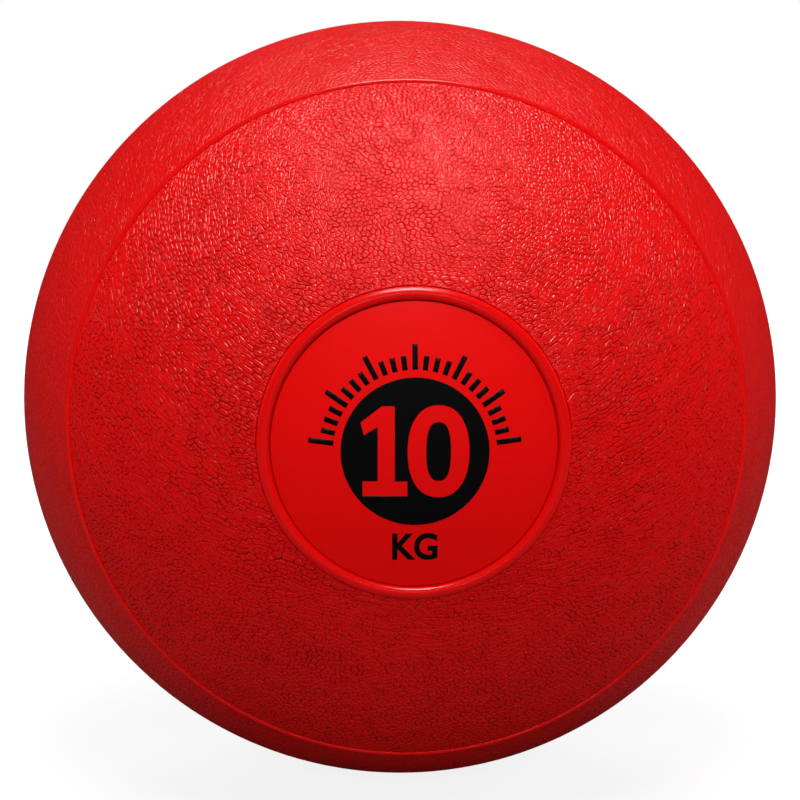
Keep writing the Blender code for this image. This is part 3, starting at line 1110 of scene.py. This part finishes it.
# %% [markdown]
# The ball stands on a white floor in a white room. Two lamps give the highlights: one overhead, and
# one in front and high up. Lamps low in front, at both sides and behind the ball fill the shade,
# and leave no highlights of their own. The room and the floor are white to the camera and dim to
# everything else. Nothing on the ball is metal or glass, so nothing has to mirror the white, and
# the rubber keeps its deep red.

# %% Floor, room and lamps
FLOOR_SIZE = 12.0
SHADE_START, SHADE_END = 0.25, 0.8  # metres from the ball between which the floor turns white
SHADED_GLOW = 0.84
SHADE_PAINT = (0.08, 0.08, 0.08, 1)
SEEN_PAINT = (0.2, 0.2, 0.2, 1)
WHITE = (1, 1, 1, 1)
DIM_GLOW = 0.04


def make_floor():
    model = bmesh.new()
    bmesh.ops.create_grid(model, x_segments=1, y_segments=1, size=FLOOR_SIZE / 2)
    bmesh.ops.translate(model, verts=model.verts, vec=(0, 0, REST_HEIGHT))
    floor = placed("floor", as_mesh(model, "floor"))
    material = bpy.data.materials.new("white floor")
    material.use_nodes = True
    tree = material.node_tree
    tree.nodes.clear()
    rays = tree.nodes.new("ShaderNodeLightPath")
    where = add_node(tree, "ShaderNodeTexCoord")
    distance = add_node(tree, "ShaderNodeVectorMath", {"operation": "LENGTH"}, {
        0: where.outputs["Object"]})
    white = add_node(tree, "ShaderNodeMapRange", {}, {
        "Value": distance.outputs["Value"], "From Min": SHADE_START, "From Max": SHADE_END,
        "To Min": SHADED_GLOW, "To Max": 1.0})
    glow = math_node(tree, "MULTIPLY", rays.outputs["Is Camera Ray"], white.outputs["Result"])
    grey = add_node(tree, "ShaderNodeMix", {"data_type": "RGBA"}, {
        "Factor": rays.outputs["Is Camera Ray"], 6: SHADE_PAINT, 7: SEEN_PAINT})
    paint = add_node(tree, "ShaderNodeBsdfDiffuse", {}, {"Color": grey.outputs[2]})
    light = add_node(tree, "ShaderNodeEmission", {}, {"Color": WHITE, "Strength": glow})
    both = add_node(tree, "ShaderNodeAddShader", {}, {0: paint.outputs[0], 1: light.outputs[0]})
    end = tree.nodes.new("ShaderNodeOutputMaterial")
    tree.links.new(both.outputs[0], end.inputs["Surface"])
    floor.data.materials.append(material)


def make_room():
    world = bpy.data.worlds.new("white room")
    bpy.context.scene.world = world
    world.use_nodes = True
    tree = world.node_tree
    tree.nodes.clear()
    rays = tree.nodes.new("ShaderNodeLightPath")
    dim = add_node(tree, "ShaderNodeBackground", {}, {"Color": WHITE, "Strength": DIM_GLOW})
    white = add_node(tree, "ShaderNodeBackground", {}, {"Color": WHITE, "Strength": 1.0})
    pick = add_node(tree, "ShaderNodeMixShader", {}, {
        0: rays.outputs["Is Camera Ray"], 1: dim.outputs[0], 2: white.outputs[0]})
    end = tree.nodes.new("ShaderNodeOutputWorld")
    tree.links.new(pick.outputs[0], end.inputs["Surface"])


def make_lamp(name, azimuth, elevation, distance, size, power, reflected=True):
    lamp = placed(name, bpy.data.lights.new(name, "AREA"))
    lamp.data.shape = "DISK"
    lamp.data.size = size
    lamp.data.energy = power
    lamp.visible_glossy = reflected
    lamp.location = spot(azimuth, elevation, distance)
    aim(lamp, Vector((0, 0, 0)))


make_floor()
make_room()
make_lamp("top lamp", 4.0, 83.0, 1.6, 0.8, 9.0)
make_lamp("high lamp", 0.0, 60.0, 2.5, 0.8, 24.0)
make_lamp("low lamp", 0.0, 12.0, 2.5, 1.2, 30.0, reflected=False)
make_lamp("left lamp", -95.0, 18.0, 2.5, 1.2, 19.0, reflected=False)
make_lamp("right lamp", 95.0, 18.0, 2.5, 1.2, 23.0, reflected=False)
make_lamp("rear lamp", 180.0, 25.0, 2.5, 1.2, 36.0, reflected=False)
print("stage set")
